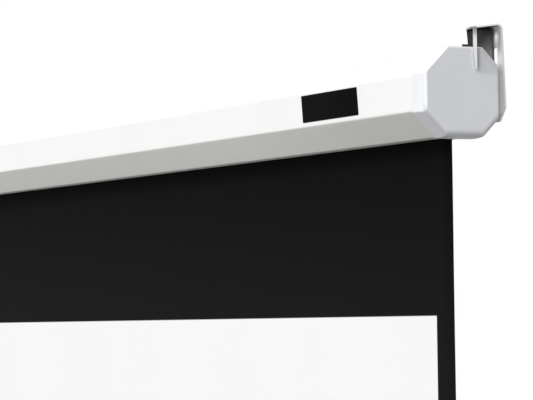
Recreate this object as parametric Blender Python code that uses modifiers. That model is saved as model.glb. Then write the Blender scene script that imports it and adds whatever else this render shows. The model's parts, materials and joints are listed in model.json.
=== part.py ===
"""Pull-down projector screen: octagonal sheet case, end caps, bent brackets, spring roller, fabric and bar.

Metres, +Z up. +X runs along the case, +Y points to the wall. The origin is on the wall plane, midway along
the case and level with the case's axis. Ends are built by functions that take side = +1 (right) or -1 (left),
and a distance u measured inwards from that end cap's outer face.
"""

from math import atan2, cos, hypot, pi, radians, sin, tan

import bmesh
import bpy
from mathutils import Vector

GAP = 0.0003  # running and seating clearance between two pieces

# Screen
VIEW_WIDTH = 1.707
VIEW_HEIGHT = 1.280
SIDE_BORDER = 0.030
TOP_DROP = 0.150  # black fabric between the case and the picture
BOTTOM_BORDER = 0.033
FABRIC = 0.0004
FABRIC_INSET = 0.0334  # from an end cap's outer face to the fabric's edge
ROLLER_AHEAD = 0.01155  # the roller's axis, in front of the case's

# Case
CASE_HALF = 0.0372  # octagon, half across its flats
CASE_SHEET = 0.0009
CASE_BEND = 0.0020
SLOT_AHEAD = 0.007  # the bottom slot's edges, from the fabric
SLOT_BEHIND = 0.0035
SLOT_LIP = 0.004

# End cap
# How far its eight sides stand out from the case's, from the back one round by way of the top one
CAP_RIM = (0.0038, 0.0046, 0.0024, 0.0020, 0.0018, 0.0022, 0.0012, 0.0033)
CAP_EDGE = (-0.0027, 0.0044, 0.0019, 0.0012, 0.0009, 0.0017, 0.0003, 0.0030)
CAP_FACE = (-0.0052, -0.0022, -0.0001, 0.0003, -0.0010, -0.0026, -0.0057, -0.0024)
CAP_CORNER = 0.0022
CAP_LENGTH = 0.022
CAP_WALL = 0.0026  # the outer face's thickness
CAP_ROUND = 0.0042  # depth of the rounding between the outer face and the sides
CAP_ROUND_STEPS = 5
CAP_SIDE_WALL = 0.0025  # behind the rounding, at the back
CAP_SHOULDER = 0.012  # the case's ends stop here
CAP_SHOULDER_STEP = 0.0020
RIM_CHAMFER = 0.0004
BOSS_RADIUS = 0.0034
BOSS_INSET = 0.0102  # a boss's centre, from the case's outer half

# Bracket
BRACKET_SHEET = 0.0016
BRACKET_BEND = 0.0040
BRACKET_RISE = 0.0189  # the ceiling flange's upper face at its front, above the case
CEILING_CLIMB = 0.14  # the bend stands a little open, so the flange climbs this much per length to the wall
BRACKET_FOOT = -0.0235  # lower edge of the wall flange
BRACKET_HIP = -0.0120  # the wall flange narrows below this
BRACKET_FOOT_U = 0.0130
BRACKET_FRONT = 0.0086  # the tongue's front edge, behind the case's axis
FLANGE_U = 0.0074  # outer edge of the wall flange at its top
FLANGE_HIP_U = 0.0035  # and at its hip
TONGUE_WIDTH = 0.0030
TONGUE_SHEET = 0.0015  # the bend draws the tongue a little thinner
TONGUE_SHOULDER_DROP = 0.0072  # below the case's top
TONGUE_TIP_DROP = 0.0176
TONGUE_TIP_SHARE = 0.78  # across the tongue, where its point lies
TONGUE_TIP_HALF = 0.0005
TONGUE_BEND = 0.0020
TONGUE_ROOT_U = 0.0012  # outer edge of the ceiling flange beside the tongue
TONGUE_LAP = 0.0020
WEB_FRONT_TOP = 0.0165
CEILING_LEAD = 0.0008  # how far the ceiling flange runs in front of the web
WEB_FRONT_LOW = 0.0176
WEB_HEEL_RISE = 0.0078  # above the case
WEB_FOOT_FRONT = 0.0120
WEB_FOOT_HEIGHT = 0.0056
WEB_REAR_LOW = 0.012
MOUNT_SLOT_WIDTH = 0.0075
MOUNT_SLOT_LENGTH = 0.018
WALL_SLOT_RISE = 0.0032  # its upper end, above the case
WALL_SLOT_U = 0.01825
MOUNT_SLOT_CORNER = 0.0015
CEILING_SLOT_LENGTH = 0.014
CEILING_SLOT_Y = 0.026
CEILING_SLOT_U = 0.0150
BRACKET_SCREW_LEVELS = {"upper": 0.0085, "lower": -0.0065}
BRACKET_SCREW_U = 0.0147

# Screws and rivets
SCREW_SHANK = 0.0015
SCREW_HEAD = 0.0031
PAN_HEIGHT = 0.0016
HEAD_CROWN = 0.6  # a domed head's flat top, as a share of its radius
BRACKET_SCREW_LENGTH = 0.0090
PLATE_SCREW_LENGTH = 0.0080
RIVET_SHANK = 0.0012
RIVET_HEAD = 0.0023
RIVET_HEAD_HEIGHT = 0.0008

# Support plates and the right-hand bearing
PLATE_U = 0.009
PLATE_SHEET = 0.002
PLATE_HALF_WIDTH = 0.011
PLATE_MARGIN = 0.004  # past the screws
PLATE_CORNER = 0.008
IDLER_RADIUS = 0.003
IDLER_COLLAR = 0.0045
BUSH_WALL = 0.0020
BUSH_FLANGE = 0.0075
BUSH_FLANGE_THICK = 0.0012
PIN_STAND = 0.0014  # the idler pin's end, past the plate

# Roller
ROLLER_RADIUS = 0.0160
ROLLER_WALL = 0.0012
ROLLER_LEFT_CLEAR = 0.0038  # past the ratchet wheel
ROLLER_RIGHT_CLEAR = 0.0093  # past the support plate
WRAP_TURNS = 1.5  # turns left on the roller with the screen pulled down
PLUG_LENGTH = 0.020
PLUG_FLANGE_THICK = 0.0030
LEFT_FLANGE_MARGIN = 0.0015  # past the pawls' bosses
RIGHT_FLANGE_STEP = 0.0012  # past the tube
RIVET_MARGIN = 0.0018  # between a tube rivet's head and the fabric
RIVET_FOOT = 0.0061  # a tube rivet's inner end, below the tube's surface

# Spindle, spring and ratchet
SPINDLE_RADIUS = 0.0040
SPINDLE_LENGTH = 0.405
SPINDLE_CHAMFER = 0.0005
TANG_HALF_HEIGHT = 0.0037
TANG_HALF_WIDTH = 0.0015
CLIP_THICK = 0.0008
CLIP_GROOVE = 0.0010
CLIP_RADIUS = 0.0060
CLIP_MOUTH = radians(70)
RATCHET_CLEAR = 0.0040  # past the support plate
RATCHET_WIDTH = 0.0040
RATCHET_RADIUS = 0.0090
RATCHET_DEPTH = 0.0022
RATCHET_TEETH = 4
RATCHET_RAMP = radians(45)
PAWL_PIVOT_RADIUS = 0.0145
PAWL_REACH = 0.0124  # pivot to nose
PAWL_REST = radians(43)  # nose direction, measured from the line to the roller's axis
PAWL_WIDTH = 0.0032
PAWL_BOSS = 0.0030
PAWL_NECK = 0.0054
PAWL_NOSE = 0.0022
PAWL_THICK = 0.0036
NOTCH_LEAD = radians(62)  # a notch's face, measured from a pawl's pivot
PAWL_ANGLES = {"a": radians(90), "b": radians(270)}
SPRING_WIRE = 0.0007
SPRING_SEAT = 0.0070  # radius of the spigots that the spring's ends grip
SPRING_TURNS = 24
SPRING_END_TURNS = 3
SPRING_END_PITCH = 0.0022
SPRING_POINTS = 12  # to a turn
SPIGOT_LENGTH = 0.010
ANCHOR_WIDTH = 0.010
ANCHOR_PIN = 0.0010
BEARING_WIDTH = 0.007
BEARING_INSET = 0.0028  # from the spindle's end

# Weight bar and pull handle
BAR_DEPTH = 0.012
BAR_HEIGHT = 0.026
BAR_WALL = 0.0012
BAR_CORNER = 0.0025
BAR_MOUTH = 0.0028
BAR_OVERHANG = 0.004  # past each edge of the fabric
BAR_CAP_WALL = 0.0020
BAR_CAP_SPIGOT = 0.008
SPIGOT_CORNER = 0.0015
HEM_ROD = 0.0015
HEM_TURN = radians(295)
HANDLE_BASE_LENGTH = 0.042
HANDLE_BASE_DEPTH = 0.010
HANDLE_BASE_CORNER = 0.0030
HANDLE_SHEET = 0.0015
HANDLE_EAR_GAP = 0.0166  # between the bracket's ears
HANDLE_EAR_RADIUS = 0.0040
HANDLE_DROP = 0.0058  # base plate to pin
HANDLE_PIN = 0.0015
HANDLE_PIN_HEAD = 0.0024
HANDLE_SCREW_X = 0.015
HANDLE_SCREW_REACH = 0.0070
HANDLE_KNUCKLE = 0.0035
HANDLE_NECK = 0.0120  # width
HANDLE_NECK_DROP = 0.0096  # below the pin
HANDLE_THICK = 0.0050
HANDLE_WIDTH = 0.074
HANDLE_HEIGHT = 0.050
HANDLE_RIM = 0.0090
HANDLE_CORNER = 0.0080

# Worked out from the sizes above
FABRIC_WIDTH = VIEW_WIDTH + 2 * SIDE_BORDER
OVERALL = FABRIC_WIDTH + 2 * FABRIC_INSET
CAP_BACK = CASE_HALF + CAP_RIM[0]
AXIS_Y = -(CAP_BACK + GAP + BRACKET_SHEET)
BOSS_SPREAD = CASE_HALF - BOSS_INSET
PLATE_HALF_HEIGHT = BOSS_SPREAD + PLATE_MARGIN
FABRIC_PITCH = FABRIC + GAP
WRAP_START = ROLLER_RADIUS + GAP + FABRIC / 2
WRAP_END = WRAP_START + WRAP_TURNS * FABRIC_PITCH
FABRIC_Y = WRAP_END - ROLLER_AHEAD
SLOT_FRONT = FABRIC_Y - SLOT_AHEAD
SLOT_REAR = FABRIC_Y + SLOT_BEHIND
BAR_TOP = -CASE_HALF - TOP_DROP - VIEW_HEIGHT - BOTTOM_BORDER
BAR_Z = BAR_TOP - BAR_HEIGHT / 2
HEM_OFFSET = HEM_ROD + GAP + FABRIC / 2
HEM_Z = BAR_HEIGHT / 2 - BAR_WALL - GAP - HEM_OFFSET - FABRIC / 2
PLATE_INNER_U = PLATE_U + PLATE_SHEET
PIN_END_U = PLATE_U - PIN_STAND
RATCHET_U = PLATE_INNER_U + RATCHET_CLEAR
ROLLER_LEFT_U = RATCHET_U + RATCHET_WIDTH + ROLLER_LEFT_CLEAR
ROLLER_RIGHT_U = PLATE_INNER_U + ROLLER_RIGHT_CLEAR
LEFT_FLANGE_RADIUS = PAWL_PIVOT_RADIUS + PAWL_BOSS + LEFT_FLANGE_MARGIN
RIGHT_FLANGE_RADIUS = ROLLER_RADIUS + RIGHT_FLANGE_STEP
PLUG_RADIUS = ROLLER_RADIUS - ROLLER_WALL - GAP
BORE = SPINDLE_RADIUS + GAP
SHANK_HOLE = SCREW_SHANK + GAP
LEFT_FLANGE_U = ROLLER_LEFT_U - GAP - PLUG_FLANGE_THICK
SPINDLE_SHOULDER_U = RATCHET_U + RATCHET_WIDTH + GAP
SPINDLE_END_U = SPINDLE_SHOULDER_U + SPINDLE_LENGTH
SPRING_RADIUS = SPRING_SEAT + GAP + SPRING_WIRE
HANDLE_PIN_Z = -BAR_HEIGHT / 2 - GAP - HANDLE_SHEET - HANDLE_DROP

COLOURS = {
    "white_steel": ((0.90, 0.90, 0.90), 0.35, 0.0),
    "white_plastic": ((0.88, 0.88, 0.88), 0.45, 0.0),
    "zinc": ((0.62, 0.63, 0.65), 0.35, 1.0),
    "dark_steel": ((0.08, 0.08, 0.09), 0.40, 0.8),
    "aluminium": ((0.70, 0.71, 0.73), 0.40, 1.0),
    "nylon": ((0.75, 0.74, 0.70), 0.50, 0.0),
    "spring_steel": ((0.35, 0.35, 0.36), 0.30, 1.0),
    "black_fabric": ((0.010, 0.010, 0.010), 0.90, 0.0),
    "black_plastic": ((0.020, 0.020, 0.020), 0.45, 0.0),
}


def clear_scene():
    for obj in list(bpy.data.objects):
        bpy.data.objects.remove(obj, do_unlink=True)


def new_collection(name):
    collection = bpy.data.collections.new(name)
    bpy.context.scene.collection.children.link(collection)
    return collection


def material(name):
    found = bpy.data.materials.get(name)
    if found:
        return found
    colour, roughness, metallic = COLOURS[name]
    made = bpy.data.materials.new(name)
    made.use_nodes = True
    surface = made.node_tree.nodes["Principled BSDF"]
    surface.inputs["Base Color"].default_value = (*colour, 1)
    surface.inputs["Roughness"].default_value = roughness
    surface.inputs["Metallic"].default_value = metallic
    return made


def empty(name, location, parent=None):
    made = bpy.data.objects.new(name, None)
    made.empty_display_size = 0.02
    made.location = location
    made.parent = parent
    PARTS.objects.link(made)
    return made


def place(mesh, name, parent, finish):
    """The mesh as a named part under an empty; with no finish it is a cutter or is joined to another part."""
    obj = bpy.data.objects.new(name, mesh)
    obj.parent = parent
    if finish:
        PARTS.objects.link(obj)
        mesh.materials.append(material(finish))
    else:
        CUTTERS.objects.link(obj)
        obj.hide_render = True
        obj.display_type = "WIRE"
    return obj


def smooth(obj, angle=radians(40)):
    obj.data.shade_smooth()
    obj.data.set_sharp_from_angle(angle=angle)
    return obj


def boolean(obj, other, operation):
    modifier = obj.modifiers.new(f"{operation.lower()} {other.name}", "BOOLEAN")
    modifier.object = other
    modifier.operation = operation
    modifier.solver = "EXACT"
    return obj


def cut(obj, *cutters):
    for cutter in cutters:
        boolean(obj, cutter, "DIFFERENCE")
    return obj


def join(obj, *others):
    for other in others:
        boolean(obj, other, "UNION")
    return obj


def arc(centre, radius, start, end, steps):
    """Points along an arc, as (first, second) pairs in its plane."""
    return [
        (centre[0] + radius * cos(start + (end - start) * i / steps),
         centre[1] + radius * sin(start + (end - start) * i / steps))
        for i in range(steps + 1)
    ]


def filleted(points, radius, steps=4, closed=False):
    """A path with its inner corners rounded; each fillet is limited by half of the shorter run beside it."""
    count = len(points)
    rounded = []
    for i, here in enumerate(points):
        if not closed and i in (0, count - 1):
            rounded.append(here)
            continue
        corner = Vector(here)
        back = Vector(points[i - 1]) - corner
        ahead = Vector(points[(i + 1) % count]) - corner
        half_angle = back.angle(ahead) / 2
        reach = min(radius / tan(half_angle), back.length * 0.49, ahead.length * 0.49)
        size = reach * tan(half_angle)
        middle = corner + (back.normalized() + ahead.normalized()).normalized() * (size / sin(half_angle))
        first = corner + back.normalized() * reach - middle
        last = corner + ahead.normalized() * reach - middle
        start = atan2(first.y, first.x)
        turn = atan2(first.x * last.y - first.y * last.x, first.dot(last))
        rounded += arc(middle, size, start, start + turn, steps)
    return rounded


def strip(name, rails, thickness, parent, finish=None):
    """A sheet of even thickness centred on the ribbon between pairs of points."""
    mesh = bpy.data.meshes.new(name)
    points = [point for pair in rails for point in pair]
    faces = [(2 * i, 2 * i + 1, 2 * i + 3, 2 * i + 2) for i in range(len(rails) - 1)]
    mesh.from_pydata(points, [], faces)
    obj = place(mesh, name, parent, finish)
    shell = obj.modifiers.new("sheet", "SOLIDIFY")
    shell.thickness = thickness
    shell.offset = 0
    shell.use_even_offset = True
    return smooth(obj)


def folded(name, path, x0, x1, thickness, parent, finish=None):
    """A sheet bent along a (y, z) path and running from x0 to x1."""
    return strip(name, [((x0, y, z), (x1, y, z)) for y, z in path], thickness, parent, finish)


def turned(name, profile, parent, finish=None, axis="X", at=(0, 0, 0), steps=32):
    """A profile of (distance along the axis, radius) pairs revolved about that axis through the point at."""
    area = sum(a[1] * b[0] - b[1] * a[0] for a, b in zip(profile, profile[1:] + profile[:1], strict=True))
    if area > 0:
        profile = profile[::-1]
    hollow = all(radius > 0 for _, radius in profile)
    edges = [(i, i + 1) for i in range(len(profile) - 1)]
    if hollow:
        edges.append((len(profile) - 1, 0))
    mesh = bpy.data.meshes.new(name)
    mesh.from_pydata([(radius, 0, along) for along, radius in profile], edges, [])
    obj = place(mesh, name, parent, finish)
    obj.location = at
    obj.rotation_euler = {"X": (0, pi / 2, 0), "Y": (-pi / 2, 0, 0), "Z": (0, 0, 0)}[axis]
    screw = obj.modifiers.new("turned", "SCREW")
    screw.steps = screw.render_steps = steps
    screw.use_merge_vertices = True
    screw.merge_threshold = 0.00001
    screw.use_smooth_shade = True
    return obj


def rod(name, radius, start, end, parent, finish=None, chamfer=0.0, **more):
    """A solid cylinder, with its end edges chamfered."""
    low, high = min(start, end), max(start, end)
    if chamfer:
        profile = [(low, 0), (low, radius - chamfer), (low + chamfer, radius),
                   (high - chamfer, radius), (high, radius - chamfer), (high, 0)]
    else:
        profile = [(low, 0), (low, radius), (high, radius), (high, 0)]
    return turned(name, profile, parent, finish, **more)


def ring(name, inner, outer, start, end, parent, finish=None, **more):
    return turned(name, [(start, inner), (start, outer), (end, outer), (end, inner)], parent, finish, **more)


def box(name, low, high, parent, finish=None):
    mesh = bpy.data.meshes.new(name)
    shape = bmesh.new()
    bmesh.ops.create_cube(shape, size=1)
    size = Vector(high) - Vector(low)
    bmesh.ops.scale(shape, vec=size, verts=shape.verts)
    bmesh.ops.translate(shape, vec=(Vector(high) + Vector(low)) / 2, verts=shape.verts)
    shape.to_mesh(mesh)
    shape.free()
    return place(mesh, name, parent, finish)


PLANES = {"YZ": (pi / 2, 0, pi / 2), "XY": (0, 0, 0), "XZ": (pi / 2, 0, 0)}


def plate(name, outlines, start, end, parent, finish=None, plane="YZ"):
    """Flat outlines, the later ones holes, filled and as thick as the run from start to end."""
    curve = bpy.data.curves.new(name, "CURVE")
    curve.dimensions = "2D"
    curve.fill_mode = "BOTH"
    curve.extrude = abs(end - start) / 2
    for outline in outlines:
        spline = curve.splines.new("POLY")
        spline.points.add(len(outline) - 1)
        for point, (first, second) in zip(spline.points, outline, strict=True):
            point.co = (first, second, 0, 1)
        spline.use_cyclic_u = True
    guide = bpy.data.objects.new(name, curve)
    CUTTERS.objects.link(guide)
    bpy.context.view_layer.update()
    mesh = bpy.data.meshes.new_from_object(guide.evaluated_get(bpy.context.evaluated_depsgraph_get()))
    bpy.data.objects.remove(guide, do_unlink=True)
    shape = bmesh.new()
    shape.from_mesh(mesh)
    bmesh.ops.remove_doubles(shape, verts=shape.verts, dist=0.000002)
    bmesh.ops.recalc_face_normals(shape, faces=shape.faces)
    shape.to_mesh(mesh)
    shape.free()
    mesh.materials.clear()
    obj = place(mesh, name, parent, finish)
    middle = (start + end) / 2
    obj.location = {"YZ": (middle, 0, 0), "XY": (0, 0, middle), "XZ": (0, middle, 0)}[plane]
    obj.rotation_euler = PLANES[plane]
    return obj


def loft(name, rings, parent, finish=None):
    """A closed body through rings of equally many points; the first and last ring are filled."""
    count = len(rings[0])
    shape = bmesh.new()
    rows = [[shape.verts.new(point) for point in row] for row in rings]
    for first, second in zip(rows, rows[1:], strict=False):
        for i in range(count):
            j = (i + 1) % count
            shape.faces.new((first[i], first[j], second[j], second[i]))
    shape.faces.new(rows[0])
    shape.faces.new(rows[-1])
    bmesh.ops.recalc_face_normals(shape, faces=shape.faces)
    mesh = bpy.data.meshes.new(name)
    shape.to_mesh(mesh)
    shape.free()
    return smooth(place(mesh, name, parent, finish), radians(25))


def across(side, u):
    """The x of a plane u inwards from that end cap's outer face."""
    return side * (OVERALL / 2 - u)


def octagon(sides, corner, x):
    """An eight-sided outline at x with rounded corners, from its sides' distances from the axis."""
    corners = []
    for k, here in enumerate(sides):
        after = sides[(k + 1) % 8]
        turn = k * pi / 4
        along = (after - here * cos(pi / 4)) / sin(pi / 4)
        corners.append((here * cos(turn) - along * sin(turn), here * sin(turn) + along * cos(turn)))
    return [(x, y, z) for y, z in filleted(corners, corner, 3, closed=True)]


def circle(centre, radius, steps=24):
    return arc(centre, radius, 0, 2 * pi * (steps - 1) / steps, steps - 1)


def rectangle(centre, width, height, corner=0.0, steps=4):
    x, y = centre
    corners = [(x - width / 2, y - height / 2), (x + width / 2, y - height / 2),
               (x + width / 2, y + height / 2), (x - width / 2, y + height / 2)]
    return filleted(corners, corner, steps, closed=True) if corner else corners


def bracket_fixing(name, side, level, finish=None):
    """A countersunk screw through the wall flange, the cap and the case; with no finish, the hole for it."""
    clear = 0 if finish else GAP
    rear = -AXIS_Y
    tip = rear - BRACKET_SCREW_LENGTH - clear
    head = [(rear - GAP / 3, SCREW_HEAD)]
    if not finish:
        head = [(rear + GAP, SCREW_HEAD + GAP), (rear, SCREW_HEAD + GAP)]
    profile = [(head[0][0], 0), *head, (rear - BRACKET_SHEET, SCREW_SHANK + clear),
               (tip, SCREW_SHANK + clear), (tip, 0)]
    at = (across(side, BRACKET_SCREW_U), 0, level)
    return turned(name, profile, CASE, finish, axis="Y", at=at, steps=20)


def make_case():
    half = CASE_HALF - CASE_SHEET / 2
    corner = half * tan(pi / 8)
    front = SLOT_FRONT - CASE_SHEET / 2
    rear = SLOT_REAR + CASE_SHEET / 2
    path = [(front, -half + SLOT_LIP), (front, -half), (-corner, -half), (-half, -corner), (-half, corner),
            (-corner, half), (corner, half), (half, corner), (half, -corner), (corner, -half), (rear, -half),
            (rear, -half + SLOT_LIP)]
    end = across(1, CAP_SHOULDER + GAP)
    shell = folded("case_shell", filleted(path, CASE_BEND), -end, end, CASE_SHEET, CASE, "white_steel")
    holes = [bracket_fixing(f"case hole {word} {place_word}", side, level)
             for side, word in SIDES for place_word, level in BRACKET_SCREW_LEVELS.items()]
    cut(shell, join(*holes))


def boss(name, side, level):
    base = across(side, CAP_WALL - GAP)
    top = across(side, PLATE_U - GAP)
    hole_end = across(side, PLATE_INNER_U + GAP - PLATE_SCREW_LENGTH - GAP)
    profile = [(base, 0), (base, BOSS_RADIUS), (top, BOSS_RADIUS), (top, SHANK_HOLE), (hole_end, SHANK_HOLE),
               (hole_end, 0)]
    return turned(name, profile, ROLLER, at=(0, 0, level), steps=20)


def make_end_cap(side, word):
    skirt = CASE_HALF + GAP
    inner = skirt - CAP_SHOULDER_STEP
    rim = [CASE_HALF + step for step in CAP_RIM]
    sections = []
    for i in range(CAP_ROUND_STEPS + 1):
        turn = pi / 2 * i / CAP_ROUND_STEPS
        sides = [CASE_HALF + face + (edge - face) * sin(turn)
                 for face, edge in zip(CAP_FACE, CAP_EDGE, strict=True)]
        sections.append((CAP_ROUND * (1 - cos(turn)), sides))
    sections += [(CAP_SHOULDER, rim), (CAP_LENGTH - RIM_CHAMFER, rim),
                 (CAP_LENGTH, [d - RIM_CHAMFER for d in rim])]
    hollow = [(CAP_LENGTH, skirt + RIM_CHAMFER), (CAP_LENGTH - RIM_CHAMFER, skirt), (CAP_SHOULDER, skirt),
              (CAP_SHOULDER, inner)]
    sections += [(u, [half] * 8) for u, half in hollow]
    back = CASE_HALF + CAP_EDGE[0] - CAP_SIDE_WALL
    sections.append((CAP_ROUND, [back] + [inner] * 7))
    sections.append((CAP_WALL, [back - CAP_WALL] + [inner - CAP_ROUND] * 7))
    rings = [octagon(sides, CAP_CORNER, across(side, u)) for u, sides in sections]
    cap = loft(f"end_cap_{word}", rings, CASE, "white_plastic")
    for sign, place_word in ((1, "upper"), (-1, "lower")):
        join(cap, boss(f"boss {word} {place_word}", side, sign * BOSS_SPREAD))
    for place_word, level in BRACKET_SCREW_LEVELS.items():
        cut(cap, bracket_fixing(f"cap hole {word} {place_word}", side, level))


def tongue_and_edge(y):
    """How far in from the cap's outer face the ceiling flange's edge lies, this far behind the axis."""
    front = BRACKET_FRONT + TONGUE_WIDTH
    rear = CAP_BACK - BRACKET_BEND
    share = min(max((y - front) / (rear - front), 0), 1)
    return TONGUE_ROOT_U + share * (FLANGE_U - TONGUE_ROOT_U)


def ceiling(y):
    """Height of the ceiling flange's middle, this far behind the axis."""
    return CASE_HALF + BRACKET_RISE - BRACKET_SHEET / 2 + CEILING_CLIMB * (y - BRACKET_FRONT)


def make_bracket(side, word):
    """One bent sheet: wall flange, ceiling flange, a web against the case and a tongue by the end cap."""
    wall = -AXIS_Y - BRACKET_SHEET / 2
    web_u = CAP_LENGTH + GAP + BRACKET_SHEET / 2
    web_x = across(side, web_u)
    bend = filleted([(wall, BRACKET_HIP), (wall, ceiling(wall)), (BRACKET_FRONT, ceiling(BRACKET_FRONT))],
                    BRACKET_BEND, 5)
    rails = [((web_x, wall, BRACKET_FOOT), (across(side, BRACKET_FOOT_U), wall, BRACKET_FOOT))]
    rails.append(((web_x, wall, BRACKET_HIP), (across(side, FLANGE_HIP_U), wall, BRACKET_HIP)))
    rails += [((web_x, y, z), (across(side, FLANGE_U), y, z)) for y, z in bend[1:-1]]
    for inner_y, outer_y in ((WEB_FRONT_TOP, BRACKET_FRONT + TONGUE_WIDTH),
                             (WEB_FRONT_TOP - CEILING_LEAD, BRACKET_FRONT)):
        rails.append(((web_x, inner_y, ceiling(inner_y)),
                      (across(side, tongue_and_edge(outer_y)), outer_y, ceiling(outer_y))))
    bracket = strip(f"bracket_{word}", rails, BRACKET_SHEET, CASE, "zinc")

    over = CASE_HALF + GAP
    corner = over * tan(pi / 8)
    foot_top = over + WEB_FOOT_HEIGHT
    outline = [(WEB_FRONT_TOP, ceiling(WEB_FRONT_TOP)), (WEB_FRONT_LOW, CASE_HALF + WEB_HEEL_RISE), (WEB_FRONT_LOW, foot_top),
               (WEB_FOOT_FRONT, foot_top), (WEB_FOOT_FRONT, over), (corner, over), (over, corner),
               (over, WEB_REAR_LOW), (wall, WEB_REAR_LOW)]
    outline += bend[1:-1]
    web = plate(f"web {word}", [outline], across(side, web_u - BRACKET_SHEET / 2),
                across(side, web_u + BRACKET_SHEET / 2), CASE)

    stand = -(GAP + BRACKET_SHEET / 2)
    near, far = BRACKET_FRONT, BRACKET_FRONT + TONGUE_WIDTH
    shoulder = CASE_HALF - TONGUE_SHOULDER_DROP
    drop = filleted([(TONGUE_ROOT_U + TONGUE_LAP, ceiling(near)), (stand, ceiling(near)), (stand, shoulder)],
                    TONGUE_BEND, 4)
    climb = ceiling(far) - ceiling(near)
    rails = [((across(side, u), near, z), (across(side, u), far, z + climb)) for u, z in drop[:-1]]
    rails.append(((across(side, stand), near, shoulder), (across(side, stand), far, shoulder)))
    tip_x = across(side, stand)
    tip_middle = near + TONGUE_WIDTH * TONGUE_TIP_SHARE
    tip_z = CASE_HALF - TONGUE_TIP_DROP
    rails.append(((tip_x, tip_middle - TONGUE_TIP_HALF, tip_z),
                  (tip_x, tip_middle + TONGUE_TIP_HALF, tip_z)))
    tongue = strip(f"tongue {word}", rails, TONGUE_SHEET, CASE)

    slot_z = CASE_HALF + WALL_SLOT_RISE - MOUNT_SLOT_LENGTH / 2
    wall_slot = rectangle((across(side, WALL_SLOT_U), slot_z), MOUNT_SLOT_WIDTH, MOUNT_SLOT_LENGTH,
                          MOUNT_SLOT_CORNER)
    ceiling_slot = rectangle((across(side, CEILING_SLOT_U), CEILING_SLOT_Y), MOUNT_SLOT_WIDTH,
                             CEILING_SLOT_LENGTH, MOUNT_SLOT_WIDTH * 0.45)
    join(bracket, web, tongue)
    openings = [plate(f"wall slot {word}", [wall_slot], wall - BRACKET_SHEET, wall + BRACKET_SHEET, CASE,
                      plane="XZ"),
                plate(f"ceiling slot {word}", [ceiling_slot], ceiling(CEILING_SLOT_Y) - 2 * BRACKET_SHEET,
                      ceiling(CEILING_SLOT_Y) + 2 * BRACKET_SHEET, CASE, plane="XY")]
    for place_word, level in BRACKET_SCREW_LEVELS.items():
        openings.append(bracket_fixing(f"bracket hole {word} {place_word}", side, level))
        bracket_fixing(f"bracket_screw_{word}_{place_word}", side, level, "zinc")
    cut(bracket, join(*openings))


def make_support_plate(side, word):
    outline = rectangle((0, 0), 2 * PLATE_HALF_WIDTH, 2 * PLATE_HALF_HEIGHT, PLATE_CORNER)
    if side > 0:
        seat = circle((0, 0), IDLER_RADIUS + BUSH_WALL + 2 * GAP)
    else:
        seat = rectangle((0, 0), 2 * (TANG_HALF_WIDTH + GAP), 2 * (TANG_HALF_HEIGHT + GAP))
    holes = [circle((0, sign * BOSS_SPREAD), SHANK_HOLE, 16) for sign in (1, -1)]
    plate(f"support_plate_{word}", [outline, seat, *holes], across(side, PLATE_U),
          across(side, PLATE_INNER_U), ROLLER, "zinc")
    for sign, place_word in ((1, "upper"), (-1, "lower")):
        under = PLATE_INNER_U + GAP
        profile = [(across(side, under + PAN_HEIGHT), 0),
                   (across(side, under + PAN_HEIGHT), SCREW_HEAD * HEAD_CROWN),
                   (across(side, under + PAN_HEIGHT / 2), SCREW_HEAD), (across(side, under), SCREW_HEAD),
                   (across(side, under), SCREW_SHANK),
                   (across(side, under - PLATE_SCREW_LENGTH), SCREW_SHANK),
                   (across(side, under - PLATE_SCREW_LENGTH), 0)]
        turned(f"plate_screw_{word}_{place_word}", profile, ROLLER, "zinc", at=(0, 0, sign * BOSS_SPREAD),
               steps=16)


def make_idler():
    """Right-hand bearing: a flanged bush in the support plate and a shouldered pin fixed in the plug."""
    bore = IDLER_RADIUS + GAP
    body = bore + BUSH_WALL
    seat = PLATE_INNER_U + GAP
    flange_end = seat + BUSH_FLANGE_THICK
    profile = [(PLATE_U - GAP, bore), (PLATE_U - GAP, body), (seat, body), (seat, BUSH_FLANGE),
               (flange_end, BUSH_FLANGE), (flange_end, bore)]
    turned("idler_bush", [(across(1, u), radius) for u, radius in profile], ROLLER, "nylon")
    plug_u = ROLLER_RIGHT_U - GAP - PLUG_FLANGE_THICK
    pin_end = plug_u + PLUG_LENGTH - GAP
    profile = [(PIN_END_U, 0), (PIN_END_U, IDLER_RADIUS - GAP), (PIN_END_U + GAP, IDLER_RADIUS),
               (flange_end + GAP, IDLER_RADIUS), (flange_end + GAP, IDLER_COLLAR),
               (plug_u - GAP, IDLER_COLLAR), (plug_u - GAP, IDLER_RADIUS), (pin_end, IDLER_RADIUS),
               (pin_end, 0)]
    turned("idler_pin", [(across(1, u), radius) for u, radius in profile], ROLLER_SPIN, "zinc")


def rivet_hole(name, x, parent):
    return rod(name, RIVET_SHANK + GAP, ROLLER_RADIUS - RIVET_FOOT - GAP, ROLLER_RADIUS + RIVET_HEAD_HEIGHT,
               parent, axis="Z",
               at=(x, 0, 0), steps=16)


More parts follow.
